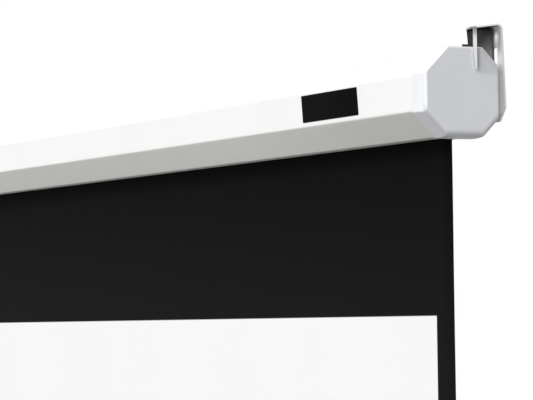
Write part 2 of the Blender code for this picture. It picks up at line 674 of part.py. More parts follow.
def make_roller():
    left_x = across(-1, ROLLER_LEFT_U)
    right_x = across(1, ROLLER_RIGHT_U)
    tube = ring("roller_tube", ROLLER_RADIUS - ROLLER_WALL, ROLLER_RADIUS, left_x, right_x, ROLLER_SPIN,
                "aluminium",
                steps=32)

    flange = LEFT_FLANGE_U + PLUG_FLANGE_THICK
    body = flange + PLUG_LENGTH
    profile = [(LEFT_FLANGE_U, BORE), (LEFT_FLANGE_U, LEFT_FLANGE_RADIUS), (flange, LEFT_FLANGE_RADIUS),
               (flange, PLUG_RADIUS), (body, PLUG_RADIUS), (body, SPRING_SEAT),
               (body + SPIGOT_LENGTH, SPRING_SEAT),
               (body + SPIGOT_LENGTH, BORE)]
    left = turned("roller_plug_left", [(across(-1, u), radius) for u, radius in profile], ROLLER_SPIN,
                  "nylon")
    for word, angle in PAWL_ANGLES.items():
        at = (0, PAWL_PIVOT_RADIUS * cos(angle), PAWL_PIVOT_RADIUS * sin(angle))
        cut(left, rod(f"pivot hole {word}", RIVET_SHANK + GAP, across(-1, LEFT_FLANGE_U - GAP),
                      across(-1, flange - GAP), ROLLER_SPIN, at=at, steps=16))

    plug_u = ROLLER_RIGHT_U - GAP - PLUG_FLANGE_THICK
    flange = plug_u + PLUG_FLANGE_THICK
    body = flange + PLUG_LENGTH
    bore = IDLER_RADIUS + GAP
    profile = [(plug_u + PLUG_LENGTH, 0), (plug_u + PLUG_LENGTH, bore), (plug_u, bore),
               (plug_u, RIGHT_FLANGE_RADIUS),
               (flange, RIGHT_FLANGE_RADIUS), (flange, PLUG_RADIUS), (body, PLUG_RADIUS), (body, 0)]
    right = turned("roller_plug_right", [(across(1, u), radius) for u, radius in profile], ROLLER_SPIN,
                   "nylon")

    for plug, side, word in ((right, 1, "right"), (left, -1, "left")):
        x = across(side, FABRIC_INSET - RIVET_HEAD - RIVET_MARGIN)
        cut(tube, rivet_hole(f"tube rivet hole {word}", x, ROLLER_SPIN))
        cut(plug, rivet_hole(f"plug rivet hole {word}", x, ROLLER_SPIN))
        seat = ROLLER_RADIUS + GAP
        foot = ROLLER_RADIUS - RIVET_FOOT
        profile = [(foot, 0), (foot, RIVET_SHANK), (seat, RIVET_SHANK),
                   (seat, RIVET_HEAD), (seat + RIVET_HEAD_HEIGHT, RIVET_HEAD * HEAD_CROWN),
                   (seat + RIVET_HEAD_HEIGHT, 0)]
        turned(f"tube_rivet_{word}", profile, ROLLER_SPIN, "aluminium", axis="Z", at=(x, 0, 0), steps=16)

    steps = round(24 * WRAP_TURNS)
    spiral = []
    for i in range(steps + 1):
        turn = WRAP_TURNS * i / steps
        radius = WRAP_END - FABRIC_PITCH * turn
        spiral.append((radius * cos(2 * pi * turn), radius * sin(2 * pi * turn)))
    folded("fabric_wraps", spiral, -FABRIC_WIDTH / 2, FABRIC_WIDTH / 2, FABRIC, ROLLER_SPIN, "black_fabric")


def ratchet_outline():
    """Full-radius arcs between notches; a notch is a radial face with a straight ramp behind it."""
    face = PAWL_ANGLES["a"] + NOTCH_LEAD
    outline = []
    for k in range(RATCHET_TEETH):
        turn = face + 2 * pi * k / RATCHET_TEETH
        crest = 2 * pi / RATCHET_TEETH - RATCHET_RAMP
        root = RATCHET_RADIUS - RATCHET_DEPTH
        outline.append((root * cos(turn), root * sin(turn)))
        outline += arc((0, 0), RATCHET_RADIUS, turn, turn + crest, 5)
    return outline


def make_spindle():
    end = across(-1, SPINDLE_END_U)
    spindle = rod("spindle", SPINDLE_RADIUS, across(-1, SPINDLE_SHOULDER_U), end, ROLLER, "zinc",
                  chamfer=SPINDLE_CHAMFER,
                  steps=24)
    tang = box("tang", (across(-1, PIN_END_U), -TANG_HALF_WIDTH, -TANG_HALF_HEIGHT),
               (across(-1, SPINDLE_SHOULDER_U + SPINDLE_RADIUS), TANG_HALF_WIDTH, TANG_HALF_HEIGHT), ROLLER)
    join(spindle, tang)
    clip_u = RATCHET_U - GAP - CLIP_THICK
    groove = TANG_HALF_HEIGHT - CLIP_GROOVE
    for sign, word in ((1, "upper"), (-1, "lower")):
        levels = sorted((sign * groove, sign * (TANG_HALF_HEIGHT + GAP)))
        cut(spindle, box(f"clip groove {word}", (across(-1, clip_u - GAP), -2 * TANG_HALF_WIDTH, levels[0]),
                         (across(-1, RATCHET_U), 2 * TANG_HALF_WIDTH, levels[1]), ROLLER))

    mouth = CLIP_MOUTH / 2
    clip = arc((0, 0), CLIP_RADIUS, mouth, 2 * pi - mouth, 16)
    clip += arc((0, 0), hypot(TANG_HALF_WIDTH, groove) + GAP, 2 * pi - mouth, mouth, 16)
    plate("spindle_clip", [clip], across(-1, clip_u), across(-1, clip_u + CLIP_THICK), ROLLER,
          "spring_steel")

    slot = rectangle((0, 0), 2 * (TANG_HALF_WIDTH + GAP), 2 * (TANG_HALF_HEIGHT + GAP))
    plate("ratchet_wheel", [ratchet_outline(), slot], across(-1, RATCHET_U),
          across(-1, RATCHET_U + RATCHET_WIDTH),
          ROLLER, "dark_steel")

    bearing_end = SPINDLE_END_U - BEARING_INSET
    bearing_u = bearing_end - BEARING_WIDTH
    ring("spindle_bearing", BORE, PLUG_RADIUS, across(-1, bearing_u), across(-1, bearing_end), ROLLER,
         "nylon")
    anchor_end = bearing_u - GAP
    anchor_u = anchor_end - ANCHOR_WIDTH
    anchor = ring("spring_anchor", BORE, SPRING_SEAT, across(-1, anchor_u), across(-1, anchor_end), ROLLER,
                  "nylon")
    pin_x = across(-1, anchor_u + ANCHOR_WIDTH / 2)
    for piece, word in ((anchor, "anchor"), (spindle, "spindle")):
        cut(piece, rod(f"pin hole {word}", ANCHOR_PIN + GAP, -SPRING_SEAT - GAP, SPRING_SEAT + GAP, ROLLER,
                       axis="Z", at=(pin_x, 0, 0), steps=16))
    reach = SPRING_SEAT - GAP
    rod("anchor_pin", ANCHOR_PIN, -reach, reach, ROLLER, "zinc", axis="Z", at=(pin_x, 0, 0), steps=16)
    make_spring(LEFT_FLANGE_U + PLUG_FLANGE_THICK + PLUG_LENGTH + GAP + SPRING_WIRE,
                anchor_end - GAP - SPRING_WIRE)


def make_spring(start_u, end_u):
    """A torsion spring, close wound where its ends grip the plug's spigot and the anchor."""
    tight = SPRING_END_TURNS * SPRING_END_PITCH
    open_turns = SPRING_TURNS - 2 * SPRING_END_TURNS
    open_pitch = (end_u - start_u - 2 * tight) / open_turns
    points = []
    for i in range(SPRING_TURNS * SPRING_POINTS + 1):
        turn = i / SPRING_POINTS
        u = (start_u + min(turn, SPRING_END_TURNS) * SPRING_END_PITCH
             + min(max(turn - SPRING_END_TURNS, 0), open_turns) * open_pitch
             + max(turn - SPRING_END_TURNS - open_turns, 0) * SPRING_END_PITCH)
        points.append((across(-1, u), SPRING_RADIUS * cos(2 * pi * turn),
                       SPRING_RADIUS * sin(2 * pi * turn)))
    curve = bpy.data.curves.new("torsion_spring", "CURVE")
    curve.dimensions = "3D"
    curve.bevel_depth = SPRING_WIRE
    curve.bevel_resolution = 1
    curve.use_fill_caps = True
    spline = curve.splines.new("POLY")
    spline.points.add(len(points) - 1)
    for point, place_at in zip(spline.points, points, strict=True):
        point.co = (*place_at, 1)
    place(curve, "torsion_spring", ROLLER, "spring_steel")


def make_pawl(word, angle):
    pivot = (0, PAWL_PIVOT_RADIUS * cos(angle), PAWL_PIVOT_RADIUS * sin(angle))
    swing = empty(f"pawl_{word} axis", pivot, ROLLER_SPIN)
    towards = angle + pi - PAWL_REST
    shape = arc((0, 0), PAWL_BOSS, radians(90), radians(300), 10)
    shape += [(PAWL_NECK, 0), (PAWL_REACH, 0), (PAWL_REACH, PAWL_NOSE), (PAWL_REACH - PAWL_NOSE, PAWL_WIDTH)]
    outline = [(s * cos(towards) + w * sin(towards), s * sin(towards) - w * cos(towards)) for s, w in shape]
    start = RATCHET_U + (RATCHET_WIDTH - PAWL_THICK) / 2
    end = start + PAWL_THICK
    plate(f"pawl_{word}", [outline, circle((0, 0), RIVET_SHANK + GAP, 16)], across(-1, start),
          across(-1, end), swing, "dark_steel")
    head = start - GAP
    tail = LEFT_FLANGE_U + PLUG_FLANGE_THICK - 2 * GAP
    profile = [(head - RIVET_HEAD_HEIGHT, 0), (head - RIVET_HEAD_HEIGHT, RIVET_HEAD * HEAD_CROWN),
               (head, RIVET_HEAD), (head, RIVET_SHANK), (tail, RIVET_SHANK), (tail, 0)]
    turned(f"pawl_pivot_{word}", [(across(-1, u), radius) for u, radius in profile], ROLLER_SPIN, "zinc",
           at=pivot, steps=16)


def make_bar():
    depth = BAR_DEPTH / 2 - BAR_WALL / 2
    height = BAR_HEIGHT / 2 - BAR_WALL / 2
    mouth = BAR_MOUTH / 2
    path = [(mouth, height), (depth, height), (depth, -height), (-depth, -height), (-depth, height),
            (-mouth, height)]
    half = FABRIC_WIDTH / 2 + BAR_OVERHANG
    bar = folded("weight_bar", filleted(path, BAR_CORNER), -half, half, BAR_WALL, BAR, "black_plastic")
    for side, word in SIDES:
        cut(bar, rod(f"handle hole {word}", SHANK_HOLE, -BAR_HEIGHT / 2 - BAR_WALL,
                     -BAR_HEIGHT / 2 + 2 * BAR_WALL,
                     BAR, axis="Z", at=(side * HANDLE_SCREW_X, 0, 0), steps=16))
        wall = side * (half + GAP)
        face = rectangle((0, 0), BAR_DEPTH, BAR_HEIGHT, BAR_CORNER)
        cap = plate(f"bar_cap_{word}", [face], wall, wall + side * BAR_CAP_WALL, BAR, "black_plastic")
        low = -BAR_HEIGHT / 2 + BAR_WALL + GAP
        high = HEM_Z - HEM_OFFSET - FABRIC / 2 - GAP
        spigot = rectangle((0, (low + high) / 2), BAR_DEPTH - 2 * (BAR_WALL + GAP), high - low,
                           SPIGOT_CORNER)
        join(cap, plate(f"spigot {word}", [spigot], side * (half - BAR_CAP_SPIGOT),
                        wall + side * BAR_CAP_WALL / 2, BAR))
    rod_half = FABRIC_WIDTH / 2 + 2 * GAP
    rod("hem_rod", HEM_ROD, -rod_half, rod_half, BAR, "zinc", at=(0, -HEM_OFFSET, HEM_Z), steps=16)


def make_fabric():
    """The sheet from the roller's rear down into the bar, with its lower edge hemmed round the rod."""
    path = [(0, -GAP - BAR_Z)]
    path += arc((-HEM_OFFSET, HEM_Z), HEM_OFFSET, 0, -HEM_TURN, 12)
    folded("screen_fabric", path, -FABRIC_WIDTH / 2, FABRIC_WIDTH / 2, FABRIC, BAR, "black_fabric")


def make_handle_bracket():
    top = -BAR_HEIGHT / 2 - GAP
    base = rectangle((0, 0), HANDLE_BASE_LENGTH, HANDLE_BASE_DEPTH, HANDLE_BASE_CORNER)
    holes = [circle((sign * HANDLE_SCREW_X, 0), SHANK_HOLE, 16) for sign in (1, -1)]
    bracket = plate("handle_bracket", [base, *holes], top - HANDLE_SHEET, top, BAR, "zinc", plane="XY")
    ear = arc((0, HANDLE_PIN_Z), HANDLE_EAR_RADIUS, pi, 2 * pi, 10)
    ear += [(HANDLE_EAR_RADIUS, top - HANDLE_SHEET / 2), (-HANDLE_EAR_RADIUS, top - HANDLE_SHEET / 2)]
    hole = circle((0, HANDLE_PIN_Z), HANDLE_PIN + GAP, 16)
    for side, word in SIDES:
        inner = side * HANDLE_EAR_GAP / 2
        join(bracket, plate(f"ear {word}", [ear, hole], inner, inner + side * HANDLE_SHEET, BAR))
        under = top - HANDLE_SHEET - GAP
        reach = top + HANDLE_SCREW_REACH
        profile = [(under - PAN_HEIGHT, 0), (under - PAN_HEIGHT, SCREW_HEAD * HEAD_CROWN),
                   (under - PAN_HEIGHT / 2, SCREW_HEAD),
                   (under, SCREW_HEAD), (under, SCREW_SHANK), (reach, SCREW_SHANK), (reach, 0)]
        turned(f"handle_screw_{word}", profile, BAR, "zinc", axis="Z", at=(side * HANDLE_SCREW_X, 0, 0),
               steps=16)
    outside = HANDLE_EAR_GAP / 2 + HANDLE_SHEET + GAP
    thick = HANDLE_SHEET / 2
    profile = [(-outside - thick, 0), (-outside - thick, HANDLE_PIN_HEAD), (-outside, HANDLE_PIN_HEAD),
               (-outside, HANDLE_PIN),
               (outside, HANDLE_PIN), (outside, HANDLE_PIN_HEAD), (outside + thick, HANDLE_PIN_HEAD),
               (outside + thick, 0)]
    turned("handle_pin", profile, BAR, "zinc", at=(0, 0, HANDLE_PIN_Z), steps=16)


def make_pull_handle():
    """A moulded grip with a finger opening, hung on the pin by a knuckle."""
    knuckle_half = HANDLE_EAR_GAP / 2 - GAP
    handle = ring("pull_handle", HANDLE_PIN + GAP, HANDLE_KNUCKLE, -knuckle_half, knuckle_half, HANDLE,
                  "black_plastic", steps=24)
    neck = HANDLE_NECK / 2
    wide = HANDLE_WIDTH / 2
    neck_end = -HANDLE_NECK_DROP
    shoulder = neck_end - HANDLE_NECK
    root = -(HANDLE_PIN + GAP + HANDLE_KNUCKLE) / 2 - GAP
    grip = [(-neck, root), (-neck, neck_end), (-wide, shoulder), (-wide, -HANDLE_HEIGHT),
            (wide, -HANDLE_HEIGHT),
            (wide, shoulder), (neck, neck_end), (neck, root)]
    inner = wide - HANDLE_RIM
    opening = [(-neck, neck_end - HANDLE_RIM), (-inner, shoulder - HANDLE_RIM / 2),
               (-inner, -HANDLE_HEIGHT + HANDLE_RIM),
               (inner, -HANDLE_HEIGHT + HANDLE_RIM), (inner, shoulder - HANDLE_RIM / 2),
               (neck, neck_end - HANDLE_RIM)]
    outer = [grip[0], *filleted(grip, HANDLE_CORNER)[1:-1], grip[-1]]
    join(handle, plate("grip", [outer, filleted(opening, HANDLE_CORNER / 2, closed=True)], -HANDLE_THICK / 2,
                       HANDLE_THICK / 2, HANDLE, plane="XZ"))


clear_scene()
PARTS = new_collection("Pull-down projector screen")
CUTTERS = new_collection("Cutters and joined shapes")
SIDES = ((1, "right"), (-1, "left"))
CASE = empty("case axis", (0, AXIS_Y, 0))
ROLLER = empty("roller bearings", (0, -ROLLER_AHEAD, 0), CASE)
ROLLER_SPIN = empty("roller axis", (0, 0, 0), ROLLER)
BAR = empty("bar", (0, FABRIC_Y, BAR_Z), CASE)
HANDLE = empty("handle axis", (0, 0, HANDLE_PIN_Z), BAR)

make_case()
for end_side, end_word in SIDES:
    make_end_cap(end_side, end_word)
    make_bracket(end_side, end_word)
    make_support_plate(end_side, end_word)
make_idler()
make_roller()
make_spindle()
for pawl_word, pawl_angle in PAWL_ANGLES.items():
    make_pawl(pawl_word, pawl_angle)
make_bar()
make_fabric()
make_handle_bracket()
make_pull_handle()
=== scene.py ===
"""Looks of a pull-down projector screen: its finishes, the cloth, the roll and the stage.

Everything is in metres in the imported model's frame: +X along the case, +Y to the wall, +Z up, with the
origin on the wall plane, midway along the case and level with its axis.
"""

import json
from math import cos, pi, radians, sin

import bpy
import numpy as np
from bpy.props import FloatProperty, FloatVectorProperty, IntProperty, PointerProperty
from mathutils import Matrix, Vector


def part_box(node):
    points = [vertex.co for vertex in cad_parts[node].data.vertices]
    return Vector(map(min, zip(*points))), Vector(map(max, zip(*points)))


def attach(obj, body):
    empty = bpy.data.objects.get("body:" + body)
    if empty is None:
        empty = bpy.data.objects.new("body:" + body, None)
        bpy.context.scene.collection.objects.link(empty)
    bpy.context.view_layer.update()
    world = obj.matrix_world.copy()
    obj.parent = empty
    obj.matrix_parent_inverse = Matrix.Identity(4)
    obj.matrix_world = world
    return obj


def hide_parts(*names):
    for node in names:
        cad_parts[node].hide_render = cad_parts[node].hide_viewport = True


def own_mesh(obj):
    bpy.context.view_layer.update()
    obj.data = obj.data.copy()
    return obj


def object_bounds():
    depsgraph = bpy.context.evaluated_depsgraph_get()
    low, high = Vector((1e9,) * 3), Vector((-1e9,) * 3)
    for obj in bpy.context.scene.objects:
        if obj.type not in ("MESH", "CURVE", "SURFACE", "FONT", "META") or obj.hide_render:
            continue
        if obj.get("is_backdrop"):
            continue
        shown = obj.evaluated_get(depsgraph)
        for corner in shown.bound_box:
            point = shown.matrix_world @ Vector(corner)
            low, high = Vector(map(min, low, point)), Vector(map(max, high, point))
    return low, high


bl_info = {
    "name": "Pull-down projector screen",
    "version": (1, 0, 0),
    "blender": (4, 5, 0),
    "location": "View3D > Sidebar > Screen",
    "description": "Dresses a pull-down projector screen with its cloth, roll, finishes and studio",
    "category": "Object",
}

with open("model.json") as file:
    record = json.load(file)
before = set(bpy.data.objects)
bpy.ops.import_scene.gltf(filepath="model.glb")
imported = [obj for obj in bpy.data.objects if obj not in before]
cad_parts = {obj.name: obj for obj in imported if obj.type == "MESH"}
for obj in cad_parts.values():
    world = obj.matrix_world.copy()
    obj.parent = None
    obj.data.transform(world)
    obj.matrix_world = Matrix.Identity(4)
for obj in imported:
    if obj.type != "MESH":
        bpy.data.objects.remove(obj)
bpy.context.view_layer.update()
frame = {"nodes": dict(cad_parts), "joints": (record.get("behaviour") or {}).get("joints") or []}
NODES = frame["nodes"]


def joint(name):
    return next(entry for entry in frame["joints"] if entry["name"] == name)


CASE_LOW, CASE_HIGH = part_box("case_shell")
CAP_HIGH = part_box("end_cap_right")[1]
CLOTH_LOW, CLOTH_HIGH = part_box("screen_fabric")
HEM_ROD_LOW, HEM_ROD_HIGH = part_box("hem_rod")
AXIS = Vector((0, (CASE_LOW.y + CASE_HIGH.y) / 2, (CASE_LOW.z + CASE_HIGH.z) / 2))
ROLLER_AXIS = Vector(joint("roller_spin")["pos_m"])
CLOTH_THICK = 0.0004
CLOTH_SHEET = CLOTH_THICK * 0.9  # thickness modelled, a little less than the room kept for it
CLOTH_Y = CLOTH_HIGH.y - CLOTH_THICK / 2
HEM_TURN = radians(295)  # how far the cloth goes round the hem rod
HEM_ROWS = 16
ROLL_TURNS = 1.5
ROLL_GAP = 0.0003  # between one turn on the roller and the next
ROLL_ROWS, ROLL_COLUMNS = 109, 9

# Places where a finish changes, as the start and end in metres of one of the measures that end_place gives.
ROUNDING = (0.0005, 0.0044)  # inward: the rounded edge round a cap's face
ROUNDING_SHADE = (-0.006, -0.022)  # height: where that edge gets painted shade, low down
FACE = (0.0014, 0.0004)  # inward: a cap's face
SIDES = (0.0036, 0.0048)  # inward: a cap's sides
SIDES_SHADE = (-0.0155, -0.0180)  # height: the sides that face down, which get painted shade
TONGUE_SHADOW = (0.0112, 0.036)  # behind: the tongue's painted shadow on the face, beside the tongue
TONGUE_SHADOW_FOOT = (0.0145, 0.0180)  # height
SHADOW_CORE = (0.0168, 0.0140)  # behind: the darkest part of that painted shadow, next to the tongue
SHADOW_CORE_FOOT = (0.0168, 0.0225)  # height
CAPWARD_DARKER = (0.40, 0.02)  # inward: the underside's painted shade, darker from the middle to the caps
UNDERSIDE = (-0.013, -0.018)  # height: the case's sides that face down, which get painted shade
WEB = (0.0216, 0.0224)  # inward: a bracket's web
WEB_BACK = (0.0412, 0.0408)  # behind
WEB_LIT = (-0.020, 0.005)  # behind less height: painted shade on the web, from its darkest corner to its lightest one
TONGUE = (0.0140, 0.0130)  # behind
TONGUE_TOP_SHADE = (0.0446, 0.0551)  # height: the tongue's painted shade under the ceiling flange
CEILING_CLIMB = 0.14  # the ceiling flange's rise for each metre towards the wall
CEILING_UNDER = (0.0537, 0.0534)  # height less the climb: the ceiling flange's lower face, which gets painted shade
CEILING_SHADE = (0.0494, 0.0529)  # height less the climb
CEILING_DEPTH = (0.0130, 0.0385)  # behind
WALL_FLANGE = (0.0385, 0.0405)  # behind
FLANGE_INNER = (0.0150, 0.0222)  # inward: the wall flange's edge beside the web, which gets painted shade
CLOTH_FADE = (0.02, 0.26)  # down the cloth: from its darker black at the top to its lighter black lower down

BADGE_SIZES = (0.0532, 0.0124, 0.0008, 0.0007, 0.0003)  # half width and height, corner, rise, rounded edge
BADGE_INWARD = 0.1758  # from the right cap's face to the middle of the badge's place
BADGE_ABOVE = 0.0009
BADGE_LEAN = -0.13

KEY_TURN, KEY_RISE, KEY_WIDTH = radians(8), radians(33), radians(22)
FILL_TURN, FILL_RISE, FILL_WIDTH = radians(60), radians(10), radians(56)
FLOOR_REACH = 6
FLOOR_CELLS = 24
FLOOR_GAP = 0.12  # between the object and the floor
FLOOR_COLOUR = (0.86, 0.86, 0.86)
PHOTO_PIXELS = 533  # width of the picture that the focal length in pixels is for
SENSOR_WIDTH = 36

STEEL = (0.36, 0.36, 0.37)
SPRING_STEEL = (0.30, 0.31, 0.33)
BRIGHT_TUBE = (0.78, 0.79, 0.80)
NYLON = (0.74, 0.73, 0.68)
BLACK_PLASTIC = (0.018, 0.018, 0.019)
BAR_PAINT = (0.022, 0.022, 0.023)


class ClothSizes(bpy.types.PropertyGroup):
    """Sizes, mesh and colours of the cloth."""

    picture_width: FloatProperty(name="Picture width", description="White area's width",
                                 default=1.707, unit="LENGTH")
    picture_height: FloatProperty(name="Picture height", description="White area's height",
                                  default=1.280, unit="LENGTH")
    top_drop: FloatProperty(name="Top drop", description="Black cloth between the case and the white area",
                            default=0.1515, unit="LENGTH")
    columns: IntProperty(name="Columns", description="Mesh columns across the cloth", default=110)
    rows: IntProperty(name="Rows", description="Mesh rows down the cloth", default=150)
    wave: FloatProperty(name="Wave", description="Depth of the faint waves in the hanging cloth",
                        default=0.0004, unit="LENGTH")
    black: FloatVectorProperty(name="Black", description="Border and backing colour", subtype="COLOR",
                               default=(0.0036, 0.0036, 0.0037))
    white: FloatVectorProperty(name="White", description="Picture area's colour", subtype="COLOR",
                               default=(0.90, 0.90, 0.90))


class FinishColours(bpy.types.PropertyGroup):
    """Colours of the case, the caps, the brackets and the badge's place."""

    paint: FloatVectorProperty(name="Case paint", description="Powder coat on the case", subtype="COLOR",
                               default=(0.90, 0.90, 0.895))
    # Darker, slightly warmer white for the case's down-facing sides: painted shade.
    underside_shade: FloatVectorProperty(name="Shaded paint", description="Powder coat on the case's underside",
                              subtype="COLOR", default=(0.845, 0.850, 0.805))
    moulding: FloatVectorProperty(name="Cap moulding", description="Plastic of the end caps", subtype="COLOR",
                                  default=(0.860, 0.869, 0.902))
    zinc: FloatVectorProperty(name="Zinc plate", description="Brackets, pins and screws", subtype="COLOR",
                              default=(0.76, 0.77, 0.78))
    # Plain white, not metal, on the wall flanges, standing in for the zinc's bright reflection: a painted
    # reflection.
    flange_white: FloatVectorProperty(name="Flange zinc", description="Bleached plating on the wall flanges",
                                subtype="COLOR", default=(0.93, 0.93, 0.93))
    # Dark colour for the brackets' webs and the ceiling flanges' lower faces: painted shade.
    bracket_shade: FloatVectorProperty(name="Shadow", description="Shadowed zinc on the brackets' webs",
                                subtype="COLOR", default=(0.0145, 0.0145, 0.0135))
    plate: FloatVectorProperty(name="Badge place", description="Bare plate on the case's front",
                               subtype="COLOR", default=(0.0015, 0.0015, 0.0015))


class StageSettings(bpy.types.PropertyGroup):
    """The camera's place and the strength of the lights."""

    turn: FloatProperty(name="Turn", description="Camera's turn about the case's right end", subtype="ANGLE",
                        default=radians(63.62))
    rise: FloatProperty(name="Rise", description="Camera's height angle", subtype="ANGLE",
                        default=radians(-2.454))
    roll: FloatProperty(name="Roll", description="Camera's roll", subtype="ANGLE", default=radians(-0.757))
    sideways: FloatProperty(name="Sideways", description="Cap centre's place across the view",
                            default=0.167831, unit="LENGTH")
    upwards: FloatProperty(name="Upwards", description="Cap centre's place up the view", default=0.091329,
                           unit="LENGTH")
    distance: FloatProperty(name="Distance", description="From the camera to the cap's centre",
                            default=2.427632, unit="LENGTH")
    focal_pixels: FloatProperty(name="Focal length in pixels", description="For a picture 533 pixels wide",
                                default=2868.644)
    key: FloatProperty(name="Key light", description="Sun from the front and above", default=2.22)
    fill: FloatProperty(name="Fill light", description="Wide soft sun from the right, ahead of the cap",
                        default=1.0)
    ambient: FloatProperty(name="Ambient", description="Even light of the room", default=0.31)
    bounce: FloatProperty(name="Floor bounce", description="Floor's colour as the object's light sees it",
                          default=0.41)


def grid_mesh(name, points, closed_across=False, uvs=None):
    """A mesh through a rows-by-columns-by-3 array of points; each cell of the grid is one face."""
    rows, columns = points.shape[:2]
    index = np.arange(rows * columns).reshape(rows, columns)
    if closed_across:
        index = np.concatenate([index, index[:, :1]], axis=1)
    corners = np.stack([index[:-1, :-1], index[:-1, 1:], index[1:, 1:], index[1:, :-1]], axis=-1)
    corners = corners.reshape(-1, 4)
    mesh = bpy.data.meshes.new(name)
    mesh.from_pydata(points.reshape(-1, 3).tolist(), [], corners.tolist())
    if uvs is not None:
        layer = mesh.uv_layers.new(name="cloth")
        layer.data.foreach_set("uv", uvs.reshape(-1, 2)[corners.ravel()].astype(np.float32).ravel())
    mesh.shade_smooth()
    obj = bpy.data.objects.new(name, mesh)
    bpy.context.scene.collection.objects.link(obj)
    return obj


def thicken(obj, back_slot=0):
    """Gives the sheet its thickness, half to each side, with the material in back_slot behind."""
    shell = obj.modifiers.new("thickness", "SOLIDIFY")
    shell.thickness = CLOTH_SHEET
    shell.offset = 0.0
    shell.use_even_offset = True
    shell.material_offset = back_slot


def group(name, inputs, outputs):
    """An empty shader group with named sockets, and its input and output nodes."""
    tree = bpy.data.node_groups.new(name, "ShaderNodeTree")
    for label, kind, value in inputs:
        socket = tree.interface.new_socket(name=label, in_out="INPUT", socket_type=kind)
        socket.default_value = value
    for label, kind in outputs:
        tree.interface.new_socket(name=label, in_out="OUTPUT", socket_type=kind)
    return tree, tree.nodes.new("NodeGroupInput"), tree.nodes.new("NodeGroupOutput")


def node(tree, kind, links=(), **settings):
    """A node with its settings made, and its inputs linked from sockets or set from plain values."""
    made = tree.nodes.new(kind)
    for key, value in settings.items():
        setattr(made, key, value)
    for target, source in links:
        if isinstance(source, bpy.types.NodeSocket):
            tree.links.new(source, made.inputs[target])
        else:
            made.inputs[target].default_value = source
    return made


def maths(tree, operation, first, second=0.0, clamp=False):
    made = node(tree, "ShaderNodeMath", [(0, first), (1, second)], operation=operation, use_clamp=clamp)
    return made.outputs[0]


def product(tree, first, second):
    return maths(tree, "MULTIPLY", first, second)


def remap(tree, value, start=0.0, end=1.0, low=0.0, high=1.0, kind="LINEAR"):
    """The value carried from start and end to low and high, and held there beyond them."""
    made = node(tree, "ShaderNodeMapRange",
                [("Value", value), ("From Min", start), ("From Max", end), ("To Min", low), ("To Max", high)],
                interpolation_type=kind)
    return made.outputs["Result"]


def noise(tree, vector, scale, detail, roughness=0.5):
    made = node(tree, "ShaderNodeTexNoise",
                [("Vector", vector), ("Scale", scale), ("Detail", detail), ("Roughness", roughness)])
    return made.outputs["Fac"]


def make_grain_group():
    """Fine surface grain: a height for Bump, and a slow mottle from 0 to 1."""
    tree, given, out = group(
        "surface grain",
        [("Vector", "NodeSocketVector", (0, 0, 0)), ("Grain Scale", "NodeSocketFloat", 900.0),
         ("Mottle Scale", "NodeSocketFloat", 12.0)],
        [("Height", "NodeSocketFloat"), ("Mottle", "NodeSocketFloat")])
    vector = given.outputs["Vector"]
    fine = noise(tree, vector, given.outputs["Grain Scale"], detail=3.0, roughness=0.6)
    slow = noise(tree, vector, given.outputs["Mottle Scale"], detail=4.0)
    tree.links.new(fine, out.inputs["Height"])
    tree.links.new(remap(tree, slow, 0.3, 0.7), out.inputs["Mottle"])
    return tree


def make_brushed_group():
    """Fine drawn lines along X: a height and a line mask from 0 to 1."""
    tree, given, out = group(
        "drawn lines",
        [("Vector", "NodeSocketVector", (0, 0, 0)), ("Stretch", "NodeSocketVector", (30, 1500, 1500))],
        [("Height", "NodeSocketFloat"), ("Lines", "NodeSocketFloat")])
    stretched = node(tree, "ShaderNodeVectorMath",
                     [(0, given.outputs["Vector"]), (1, given.outputs["Stretch"])], operation="MULTIPLY")
    lines = noise(tree, stretched.outputs[0], 1.0, detail=4.0)
    tree.links.new(lines, out.inputs["Height"])
    tree.links.new(lines, out.inputs["Lines"])
    return tree


def make_weave_group():
    """Plain weave from two crossed waves on the cloth's own map, which is given in metres."""
    tree, given, out = group(
        "plain weave",
        [("Vector", "NodeSocketVector", (0, 0, 0)), ("Pitch", "NodeSocketFloat", 0.0006)],
        [("Height", "NodeSocketFloat"), ("Threads", "NodeSocketFloat")])
    parts = node(tree, "ShaderNodeSeparateXYZ", [(0, given.outputs["Vector"])])
    turns = maths(tree, "DIVIDE", 2 * pi, given.outputs["Pitch"])
    across = maths(tree, "SINE", product(tree, parts.outputs["X"], turns))
    along = maths(tree, "SINE", product(tree, parts.outputs["Y"], turns))
    height = maths(tree, "MULTIPLY_ADD", product(tree, across, along), 0.5)
    height.node.inputs[2].default_value = 0.5
    tree.links.new(height, out.inputs["Height"])
    tree.links.new(height, out.inputs["Threads"])
    return tree


def principled(name):
    """A material with its tree cleared to one Principled BSDF."""
    made = bpy.data.materials.new(name)
    made.use_nodes = True
    tree = made.node_tree
    tree.nodes.clear()
    surface = tree.nodes.new("ShaderNodeBsdfPrincipled")
    out = tree.nodes.new("ShaderNodeOutputMaterial")
    tree.links.new(surface.outputs[0], out.inputs["Surface"])
    return made, tree, surface


def place_group(tree, name, **values):
    made = tree.nodes.new("ShaderNodeGroup")
    made.node_tree = bpy.data.node_groups[name]
    for label, value in values.items():
        made.inputs[label.replace("_", " ")].default_value = value
    return made


def object_place(tree, into):
    where = tree.nodes.new("ShaderNodeTexCoord")
    tree.links.new(where.outputs["Object"], into)


def mixed(tree, factor, first, second, blend="MIX"):
    made = node(tree, "ShaderNodeMix", [(0, factor)], data_type="RGBA", blend_type=blend)
    for socket, value in ((made.inputs[6], first), (made.inputs[7], second)):
        if isinstance(value, bpy.types.NodeSocket):
            tree.links.new(value, socket)
        else:
            socket.default_value = (*value[:3], 1)
    return made.outputs[2]


def faded(tree, colour, share):
    """The colour, a socket or plain, times a share from 0 to 1."""
    return mixed(tree, 1.0, colour, (share, share, share), blend="MULTIPLY")


